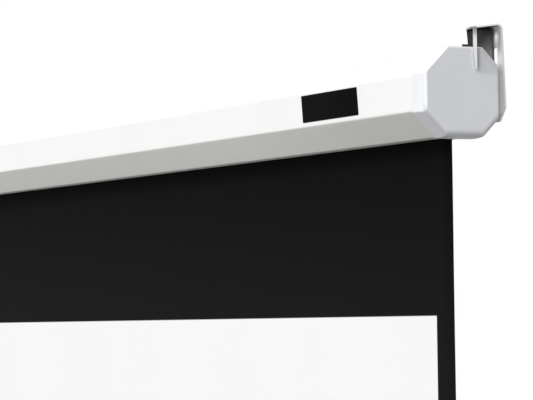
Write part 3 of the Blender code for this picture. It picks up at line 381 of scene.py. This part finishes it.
def bump(tree, surface, height, strength, distance):
    made = node(tree, "ShaderNodeBump", [("Height", height), ("Strength", strength), ("Distance", distance)])
    tree.links.new(made.outputs[0], surface.inputs["Normal"])


def shade(colour, share):
    return tuple(channel * share for channel in colour)


def ramp(tree, value, start, end, low=0.0, high=1.0):
    """A smooth rise from low to high while the value goes from start to end."""
    return remap(tree, value, start, end, low, high, kind="SMOOTHSTEP")


def edge_mask(tree, value, low, high, soft=0.0004):
    """1 between low and high, 0 outside, with soft edges."""
    rise = remap(tree, value, low - soft, low + soft)
    fall = remap(tree, value, high - soft, high + soft, 1.0, 0.0)
    return product(tree, rise, fall)


def end_place(tree):
    """Distance in from either end cap's outer face, and the place behind the case's axis and above it."""
    where = tree.nodes.new("ShaderNodeTexCoord")
    parts = node(tree, "ShaderNodeSeparateXYZ", [(0, where.outputs["Object"])])
    inward = maths(tree, "SUBTRACT", CAP_HIGH.x, maths(tree, "ABSOLUTE", parts.outputs["X"]))
    behind = maths(tree, "SUBTRACT", parts.outputs["Y"], AXIS.y)
    return inward, behind, maths(tree, "SUBTRACT", parts.outputs["Z"], AXIS.z)


def coated(name, colour, roughness, grain, depth, mottle=0.97, specular=0.3, tint=None):
    """Paint or moulded plastic: an even colour with a faint mottle, and a fine grain of a scale and depth."""
    made, tree, surface = principled(name)
    texture = place_group(tree, "surface grain", Grain_Scale=grain)
    object_place(tree, texture.inputs["Vector"])
    even = tint(tree) if tint else (*colour, 1)
    cloudy = mixed(tree, texture.outputs["Mottle"], faded(tree, even, mottle), even)
    tree.links.new(cloudy, surface.inputs["Base Color"])
    rough = remap(tree, texture.outputs["Mottle"], low=roughness * 1.1, high=roughness * 0.92)
    tree.links.new(rough, surface.inputs["Roughness"])
    surface.inputs["Specular IOR Level"].default_value = specular
    bump(tree, surface, texture.outputs["Height"], 0.35, depth)
    return made


def cap_tint(colours):
    """Moulded white, with painted shade: the tongue's shadow on the face, the low part of the rounding round
    the face, and the sides below.
    """
    def tint(tree):
        inward, behind, height = end_place(tree)
        # Painted shade on the lower part of the rounded edge round the face.
        band = edge_mask(tree, inward, *ROUNDING, soft=0.0005)
        low = product(tree, band, ramp(tree, height, *ROUNDING_SHADE))
        low_edge_shade = mixed(tree, low, colours.moulding, shade(colours.moulding, 0.76))
        # Painted shadow of the tongue on the face: darker beside the tongue, darkest right next to it.
        face = product(tree, ramp(tree, inward, *FACE), ramp(tree, height, *TONGUE_SHADOW_FOOT))
        shadow_mask = product(tree, face, edge_mask(tree, behind, *TONGUE_SHADOW))
        core_mask = product(tree, ramp(tree, behind, *SHADOW_CORE), ramp(tree, height, *SHADOW_CORE_FOOT))
        shadow_patch = mixed(tree, core_mask, shade(colours.moulding, 0.87), shade(colours.moulding, 0.52))
        # Painted shade on the cap's sides that face down.
        side = product(tree, ramp(tree, inward, *SIDES), ramp(tree, height, *SIDES_SHADE))
        return mixed(tree, shadow_mask, mixed(tree, side, low_edge_shade, shade(colours.moulding, 0.91)), shadow_patch)
    return tint


def paint_tint(colours):
    """White paint, with painted shade on the sides that face down: a darker, slightly warmer white, darker
    still towards the caps.
    """
    def tint(tree):
        inward, _, height = end_place(tree)
        # Painted shade: the down-facing sides darker and a little warmer, darker still towards the caps.
        underside_shade = mixed(tree, ramp(tree, inward, *CAPWARD_DARKER), colours.underside_shade, shade(colours.underside_shade, 0.89))
        return mixed(tree, ramp(tree, height, *UNDERSIDE), colours.paint, underside_shade)
    return tint


def bracket_tint(colours):
    """Zinc, with plain white on the wall flange in place of its reflection, and painted shade on the tongue's
    top, on the web, under the top and on the flange beside the web.
    """
    def tint(tree):
        inward, behind, height = end_place(tree)
        # Painted shade on the web, darker towards its top and front.
        lit = ramp(tree, maths(tree, "SUBTRACT", behind, height), *WEB_LIT)
        web = mixed(tree, lit, colours.bracket_shade, shade(colours.bracket_shade, 15.0))
        # Painted shade on the tongue's top, under the ceiling flange.
        bend = product(tree, ramp(tree, behind, *TONGUE), ramp(tree, height, *TONGUE_TOP_SHADE))
        plate = mixed(tree, bend, colours.zinc, shade(colours.zinc, 0.35))
        # Painted shade under the ceiling flange.
        level = maths(tree, "SUBTRACT", height, product(tree, behind, CEILING_CLIMB))
        under = product(tree, ramp(tree, level, *CEILING_UNDER), ramp(tree, level, *CEILING_SHADE))
        under = product(tree, under, edge_mask(tree, behind, *CEILING_DEPTH))
        plate = mixed(tree, under, plate, colours.bracket_shade)
        # Painted shade on the wall flange's edge beside the web.
        inner = ramp(tree, inward, *FLANGE_INNER)
        flange = mixed(tree, inner, colours.flange_white, shade(colours.flange_white, 0.10))
        # The wall flange takes the plain white that stands in for the zinc's reflection.
        plate = mixed(tree, ramp(tree, behind, *WALL_FLANGE), plate, flange)
        on_web = product(tree, ramp(tree, inward, *WEB), ramp(tree, behind, *WEB_BACK))
        return mixed(tree, on_web, plate, web)
    return tint


def flange_metal_share(tree):
    """Metal share of a bracket: none on the wall flange, whose plain white stands in for the zinc's
    reflection, and all of it elsewhere.
    """
    _, behind, _ = end_place(tree)
    return ramp(tree, behind, *WALL_FLANGE, 1.0, 0.0)


def drawn_metal(name, colour, roughness, stretch, tint=None, metal=None):
    """Plated or drawn metal: fine lines along X and a slow cloudiness in the colour."""
    made, tree, surface = principled(name)
    surface.inputs["Metallic"].default_value = 1.0
    if metal:
        tree.links.new(metal(tree), surface.inputs["Metallic"])
    grain = place_group(tree, "surface grain", Mottle_Scale=60.0)
    lines = place_group(tree, "drawn lines", Stretch=stretch)
    object_place(tree, grain.inputs["Vector"])
    object_place(tree, lines.inputs["Vector"])
    even = tint(tree) if tint else (*colour, 1)
    cloudy = mixed(tree, grain.outputs["Mottle"], faded(tree, even, 0.9), even)
    lined = mixed(tree, lines.outputs["Lines"], cloudy, faded(tree, even, 0.94))
    tree.links.new(lined, surface.inputs["Base Color"])
    rough = remap(tree, lines.outputs["Lines"], low=roughness * 0.8, high=roughness * 1.25)
    tree.links.new(rough, surface.inputs["Roughness"])
    bump(tree, surface, lines.outputs["Height"], 0.25, 0.00002)
    return made


def cloth_map(tree, width, length):
    """The cloth's own map in metres, measured from its top left corner."""
    where = node(tree, "ShaderNodeUVMap", uv_map="cloth")
    return node(tree, "ShaderNodeVectorMath", [(0, where.outputs[0]), (1, (width, length, 1.0))],
                operation="MULTIPLY").outputs[0]


def cloth_front(sizes, width, length):
    """Matt white picture area in black borders that are darker at the top and lighter lower down, with the
    weave through both.
    """
    made, tree, surface = principled("picture cloth")
    place = cloth_map(tree, width, length)
    parts = node(tree, "ShaderNodeSeparateXYZ", [(0, place)])
    side = (width - sizes.picture_width) / 2
    top = sizes.top_drop + CLOTH_HIGH.z - CASE_LOW.z
    across = edge_mask(tree, parts.outputs["X"], side, side + sizes.picture_width)
    down = edge_mask(tree, parts.outputs["Y"], top, top + sizes.picture_height)
    picture = product(tree, across, down)
    weave = place_group(tree, "plain weave", Pitch=0.0007)
    tree.links.new(place, weave.inputs["Vector"])
    grain = place_group(tree, "surface grain", Mottle_Scale=3.0)
    object_place(tree, grain.inputs["Vector"])
    white = mixed(tree, grain.outputs["Mottle"], shade(sizes.white, 0.985), sizes.white)
    dusty = ramp(tree, parts.outputs["Y"], *CLOTH_FADE)
    thread = mixed(tree, dusty, shade(sizes.black, 0.25), shade(sizes.black, 1.9))
    black = mixed(tree, weave.outputs["Threads"], faded(tree, thread, 0.75), thread)
    tree.links.new(mixed(tree, picture, black, white), surface.inputs["Base Color"])
    tree.links.new(remap(tree, picture, low=0.85, high=1.0), surface.inputs["Roughness"])
    surface.inputs["Specular IOR Level"].default_value = 0.06
    bump(tree, surface, weave.outputs["Height"], 0.3, 0.00005)
    return made


def cloth_back(sizes, width, length):
    """Black backing cloth with its weave."""
    made, tree, surface = principled("black backing")
    place = cloth_map(tree, width, length)
    weave = place_group(tree, "plain weave", Pitch=0.0009)
    tree.links.new(place, weave.inputs["Vector"])
    black = mixed(tree, weave.outputs["Threads"], shade(sizes.black, 0.9), shade(sizes.black, 1.9))
    tree.links.new(black, surface.inputs["Base Color"])
    surface.inputs["Roughness"].default_value = 0.9
    surface.inputs["Specular IOR Level"].default_value = 0.06
    bump(tree, surface, weave.outputs["Height"], 0.5, 0.00008)
    return made


def cloth_materials(sizes, width, length):
    """The cloth's front and back, made once and shared by its pieces."""
    front = bpy.data.materials.get("picture cloth") or cloth_front(sizes, width, length)
    back = bpy.data.materials.get("black backing") or cloth_back(sizes, width, length)
    return front, back


def hem_profile(rows, straight_top, radius, centre_z):
    """The cloth's section, a straight fall and then HEM_TURN round the hem rod, at distances s down it.

    With f for the fall and a = max(s - f, 0) / radius: y = radius (cos a - 1), and z = straight_top - s above
    the rod's centre and centre_z - radius sin a round it. Gives s as shares of the whole, the whole, y and z.
    """
    fall = straight_top - centre_z
    bend = radius * HEM_TURN
    reach = fall + bend
    straight = np.linspace(0, fall, rows - HEM_ROWS, endpoint=False)
    share = np.concatenate([straight, fall + np.linspace(0, bend, HEM_ROWS)])
    past = np.maximum(share - fall, 0) / radius
    y = -radius + radius * np.cos(past)
    z = np.where(share < fall, straight_top - share, centre_z - radius * np.sin(past))
    return share / reach, reach, y, z


def cloth_waves(across, down, z, rod_z, depth):
    """Faint waves: depth f (sin(2 pi x / 0.47 + 1.3 sin 5 v) + 0.6 sin(2 pi x / 0.19 + 7 v)).

    x is the place along the cloth in metres and v the share of the way down. f = 3 g^2 - 2 g^3 brings them in
    over the 0.15 m from 0.03 m below the case, and over the 0.25 m from 0.05 m above the hem rod.
    """
    fade = np.clip((CASE_LOW.z - 0.03 - z) / 0.15, 0, 1) * np.clip((z - rod_z - 0.05) / 0.25, 0, 1)
    fade = fade * fade * (3 - 2 * fade)
    wide = np.sin(2 * pi * across / 0.47 + 1.3 * np.sin(5 * down))
    narrow = np.sin(2 * pi * across / 0.19 + 7 * down)
    return depth * fade[:, None] * (wide + 0.6 * narrow)


def cloth_piece(name, body, sizes, points, uvs, width, reach):
    """A thickened part of the screen's cloth, white and black in front and black behind, riding on body."""
    piece = grid_mesh(name, points[:, ::-1], uvs=uvs[:, ::-1])
    for material in cloth_materials(sizes, width, reach):
        piece.data.materials.append(material)
    thicken(piece, back_slot=1)
    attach(piece, body)
    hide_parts("screen_fabric")
    return piece


class SCREEN_OT_cloth(bpy.types.Operator):
    """Makes the cloth: a hanging sheet with faint waves down to the bar, then the hem pocket round its rod.

    The hem goes up with the bar while the hanging part shortens, so the sheet is two pieces that meet inside
    the bar.
    """

    bl_idname = "screen.cloth"
    bl_label = "Hanging cloth"

    def execute(self, context):
        sizes = context.scene.screen_cloth
        width = CLOTH_HIGH.x - CLOTH_LOW.x
        rod_z = (HEM_ROD_LOW.z + HEM_ROD_HIGH.z) / 2
        radius = rod_z - CLOTH_LOW.z - CLOTH_THICK / 2
        share, reach, y, z = hem_profile(sizes.rows, CLOTH_HIGH.z, radius, rod_z)
        x = np.linspace(CLOTH_LOW.x, CLOTH_HIGH.x, sizes.columns)
        across, down = np.meshgrid(x, share)
        depth = CLOTH_Y + y[:, None] + cloth_waves(across, down, z, rod_z, sizes.wave)
        points = np.stack([across, depth, np.broadcast_to(z[:, None], across.shape)], axis=-1)
        uvs = np.stack([(across - CLOTH_LOW.x) / width, down], axis=-1)
        fold = sizes.rows - HEM_ROWS - 1
        cloth = cloth_piece("hanging_cloth", "case", sizes, points[:fold + 1], uvs[:fold + 1], width, reach)
        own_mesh(cloth)
        hem = cloth_piece("cloth_hem", "screen", sizes, points[fold:], uvs[fold:], width, reach)
        return {"FINISHED"}


class SCREEN_OT_roll(bpy.types.Operator):
    """Makes the turns of cloth left on the roller: a spiral r = r0 - pitch a / 2 pi about the roller's axis.

    a is the angle turned and r0 the distance from the axis to the hanging cloth, which it meets at a = 0.
    """

    bl_idname = "screen.roll"
    bl_label = "Cloth roll"

    def execute(self, context):
        sizes = context.scene.screen_cloth
        low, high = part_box("fabric_wraps")
        width = high.x - low.x
        turned = 2 * pi * ROLL_TURNS
        pitch = CLOTH_THICK + ROLL_GAP
        outer = CLOTH_Y - ROLLER_AXIS.y
        angle = np.linspace(0, turned, ROLL_ROWS)
        radius = outer - pitch * angle / (2 * pi)
        across, around = np.meshgrid(np.linspace(low.x, high.x, ROLL_COLUMNS), angle)
        ring = np.broadcast_to(radius[:, None], around.shape)
        y = ROLLER_AXIS.y + ring * np.cos(around)
        z = ROLLER_AXIS.z + ring * np.sin(around)
        uvs = np.stack([(across - low.x) / width, around / turned], axis=-1)
        roll = grid_mesh("fabric_roll", np.stack([across, y, z], axis=-1), uvs=uvs)
        back = cloth_materials(sizes, width, CLOTH_HIGH.z - CLOTH_LOW.z)[1]
        roll.data.materials.append(back)
        thicken(roll)
        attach(roll, "roller")
        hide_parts("fabric_wraps")
        return {"FINISHED"}


def badge_outline(half_wide, half_high, corner, steps=6):
    """Points of a rounded rectangle: four quarter circles joined by straights, anticlockwise in (u, v).

    Each quarter is (u, v) = (su wide + corner cos a, sv high + corner sin a), with su and sv 1 or -1.
    """
    turn = np.linspace(0, pi / 2, steps)
    quarters = [(1, 1, 0), (-1, 1, pi / 2), (-1, -1, pi), (1, -1, 3 * pi / 2)]
    wide, high = half_wide - corner, half_high - corner
    u = np.concatenate([su * wide + corner * np.cos(turn + start) for su, _, start in quarters])
    v = np.concatenate([sv * high + corner * np.sin(turn + start) for _, sv, start in quarters])
    return u, v


class SCREEN_OT_badge(bpy.types.Operator):
    """Makes the bare plate at the badge's place: a rounded, leaning rectangle with a small rounded edge."""

    bl_idname = "screen.badge"
    bl_label = "Badge place"

    def execute(self, context):
        colours = context.scene.screen_finish
        half_wide, half_high, corner, rise, edge = BADGE_SIZES
        centre_x, centre_z, lean = CAP_HIGH.x - BADGE_INWARD, AXIS.z + BADGE_ABOVE, BADGE_LEAN
        inset = edge * (1 - np.cos(np.linspace(0, pi / 2, 5)))
        lift = rise - edge + edge * np.sin(np.linspace(0, pi / 2, 5))
        inset, lift = np.concatenate([[0], inset, [half_high]]), np.concatenate([[0], lift, [rise]])
        rings = []
        for shrink, out in zip(inset, lift):
            high, bend = max(half_high - shrink, 1e-5), max(corner - shrink, 1e-6)
            u, v = badge_outline(half_wide - shrink, high, bend)
            y = np.full_like(u, CASE_LOW.y - out)
            rings.append(np.stack([centre_x + u + lean * v, y, centre_z + v], axis=-1))
        plate = grid_mesh("badge_place", np.array(rings), closed_across=True)
        plate.data.shade_flat()
        plate.data.materials.append(coated("plate lacquer", colours.plate, roughness=0.6, grain=1400,
                                           depth=0.00001, specular=0.02))
        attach(plate, "case")
        return {"FINISHED"}


class SCREEN_OT_finishes(bpy.types.Operator):
    """Gives each carried-over piece the finish that the real one has."""

    bl_idname = "screen.finishes"
    bl_label = "Finishes"

    def execute(self, context):
        colours = context.scene.screen_finish
        finishes = {
            coated("powder coat", colours.paint, roughness=0.5, grain=700, depth=0.00003,
                   tint=paint_tint(colours)): ["case_shell"],
            coated("moulded caps", colours.moulding, roughness=0.48, grain=450, depth=0.00004,
                   tint=cap_tint(colours)): ["end_cap_left", "end_cap_right"],
            drawn_metal("bracket zinc", colours.zinc, roughness=0.36, stretch=(40, 900, 900),
                        tint=bracket_tint(colours), metal=flange_metal_share): ["bracket_left", "bracket_right"],
            drawn_metal("zinc plate", colours.zinc, roughness=0.34, stretch=(40, 900, 900)): [
                "support_plate_left", "support_plate_right", "handle_bracket"],
            drawn_metal("bright zinc", colours.zinc, roughness=0.26, stretch=(300, 1500, 1500)): [
                name for name in NODES if "screw" in name or "rivet" in name or name in (
                    "handle_pin", "idler_pin", "anchor_pin", "hem_rod")],
            drawn_metal("hardened steel", STEEL, roughness=0.33, stretch=(200, 1800, 1800)): [
                "spindle", "spindle_clip", "ratchet_wheel", "pawl_a", "pawl_b", "pawl_pivot_a",
                "pawl_pivot_b"],
            drawn_metal("spring wire", SPRING_STEEL, roughness=0.28, stretch=(1200, 1200, 1200)): [
                "torsion_spring"],
            drawn_metal("drawn tube", BRIGHT_TUBE, roughness=0.32, stretch=(12, 1400, 1400)): [
                "roller_tube"],
            coated("natural nylon", NYLON, roughness=0.42, grain=900, depth=0.00002, mottle=0.94): [
                "idler_bush", "spring_anchor", "spindle_bearing", "roller_plug_left", "roller_plug_right"],
            coated("black plastic", BLACK_PLASTIC, roughness=0.45, grain=420, depth=0.00005, mottle=0.8): [
                "pull_handle", "bar_cap_left", "bar_cap_right"],
            coated("bar paint", BAR_PAINT, roughness=0.42, grain=800, depth=0.00003, mottle=0.85): [
                "weight_bar"],
        }
        for finish, names in finishes.items():
            for name in names:
                for slot in NODES[name].material_slots:
                    slot.material = finish
        dressed = {name for names in finishes.values() for name in names} | {"screen_fabric", "fabric_wraps"}
        missing = sorted(set(NODES) - dressed)
        if missing:
            raise RuntimeError(f"No finish for {missing}")
        return {"FINISHED"}


def seen_directly(tree):
    """1 where the camera, a gloss or a glass looks, 0 for the light that falls on things."""
    path = tree.nodes.new("ShaderNodeLightPath")
    seen = maths(tree, "ADD", path.outputs["Is Camera Ray"], path.outputs["Is Glossy Ray"], clamp=True)
    return maths(tree, "ADD", seen, path.outputs["Is Transmission Ray"], clamp=True)


def backdrop_world(ambient):
    """Even room light, white where it is seen directly."""
    world = bpy.data.worlds.new("room")
    world.use_nodes = True
    tree = world.node_tree
    tree.nodes.clear()
    strength = remap(tree, seen_directly(tree), low=ambient)
    shine = node(tree, "ShaderNodeBackground", [("Color", (1, 1, 1, 1)), ("Strength", strength)])
    out = tree.nodes.new("ShaderNodeOutputWorld")
    tree.links.new(shine.outputs[0], out.inputs["Surface"])
    bpy.context.scene.world = world


def floor_tint(bounce):
    """Pale where it is seen directly, and darker to the light that it throws back up."""
    def tint(tree):
        return mixed(tree, seen_directly(tree), (bounce, bounce, bounce), FLOOR_COLOUR)
    return tint


def direction(turn, rise):
    """The unit vector (sin turn cos rise, -cos turn cos rise, sin rise), which is -Y, the front, at 0, 0."""
    return Vector((sin(turn) * cos(rise), -cos(turn) * cos(rise), sin(rise)))


def add_sun(scene, name, energy, turn, rise, width):
    """A sun as wide as the angle width, whose light comes from the direction of turn and rise."""
    lamp = bpy.data.objects.new(name, bpy.data.lights.new(name, "SUN"))
    lamp.data.energy = energy
    lamp.data.angle = width
    lamp.rotation_euler = direction(turn, rise).to_track_quat("Z", "Y").to_euler()
    scene.collection.objects.link(lamp)


class SCREEN_OT_stage(bpy.types.Operator):
    """Makes the floor, the lights and the camera at the photograph's viewing angle."""

    bl_idname = "screen.stage"
    bl_label = "Stage"

    def execute(self, context):
        scene = context.scene
        stage = scene.screen_stage
        scene.view_settings.view_transform = "Standard"
        backdrop_world(stage.ambient)

        reach = np.linspace(-FLOOR_REACH, FLOOR_REACH, FLOOR_CELLS + 1)
        across, along = np.meshgrid(reach, reach)
        down = np.full_like(across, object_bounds()[0][2] - FLOOR_GAP)
        floor = grid_mesh("floor", np.stack([across, along, down], axis=-1))
        floor.data.materials.append(coated("studio floor", FLOOR_COLOUR, roughness=0.8, grain=90,
                                           depth=0.0001, specular=0.0, tint=floor_tint(stage.bounce)))
        floor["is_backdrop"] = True

        add_sun(scene, "key", stage.key, KEY_TURN, KEY_RISE, KEY_WIDTH)
        add_sun(scene, "fill", stage.fill, FILL_TURN, FILL_RISE, FILL_WIDTH)

        away = direction(stage.turn, stage.rise)
        level = Vector((cos(stage.turn), sin(stage.turn), 0))
        plumb = away.cross(level)
        right = cos(stage.roll) * level + sin(stage.roll) * plumb
        above = cos(stage.roll) * plumb - sin(stage.roll) * level
        camera = bpy.data.objects.new("camera", bpy.data.cameras.new("camera"))
        camera.data.sensor_width = SENSOR_WIDTH
        camera.data.lens = stage.focal_pixels * camera.data.sensor_width / PHOTO_PIXELS
        camera.data.clip_end = 50
        place = Vector((CAP_HIGH.x, AXIS.y, AXIS.z))
        place += stage.distance * away - stage.sideways * right - stage.upwards * above
        camera.matrix_world = Matrix.Translation(place) @ Matrix((right, above, away)).transposed().to_4x4()
        scene.collection.objects.link(camera)
        scene.camera = camera
        return {"FINISHED"}


class SCREEN_PT_panel(bpy.types.Panel):
    """Lists the screen's sizes, colours and steps."""

    bl_idname = "SCREEN_PT_panel"
    bl_label = "Pull-down screen"
    bl_space_type = "VIEW_3D"
    bl_region_type = "UI"
    bl_category = "Screen"

    def draw(self, context):
        scene = context.scene
        for settings in (scene.screen_cloth, scene.screen_finish, scene.screen_stage):
            box = self.layout.box()
            for key in settings.bl_rna.properties.keys():
                if key not in ("rna_type", "name"):
                    box.prop(settings, key)
        for step in OPERATORS:
            self.layout.operator(step.bl_idname)


SETTINGS = {"screen_cloth": ClothSizes, "screen_finish": FinishColours, "screen_stage": StageSettings}
OPERATORS = (SCREEN_OT_stage, SCREEN_OT_cloth, SCREEN_OT_roll, SCREEN_OT_badge, SCREEN_OT_finishes)


def register():
    for kind in (*SETTINGS.values(), *OPERATORS, SCREEN_PT_panel):
        bpy.utils.register_class(kind)
    for name, kind in SETTINGS.items():
        setattr(bpy.types.Scene, name, PointerProperty(type=kind))


def unregister():
    for name in SETTINGS:
        delattr(bpy.types.Scene, name)
    for kind in reversed((*SETTINGS.values(), *OPERATORS, SCREEN_PT_panel)):
        bpy.utils.unregister_class(kind)


def main():
    register()
    for make in (make_grain_group, make_brushed_group, make_weave_group):
        make()
    for step in (bpy.ops.screen.stage, bpy.ops.screen.cloth, bpy.ops.screen.roll, bpy.ops.screen.badge,
                 bpy.ops.screen.finishes):
        step()


if __name__ == "__main__":
    main()
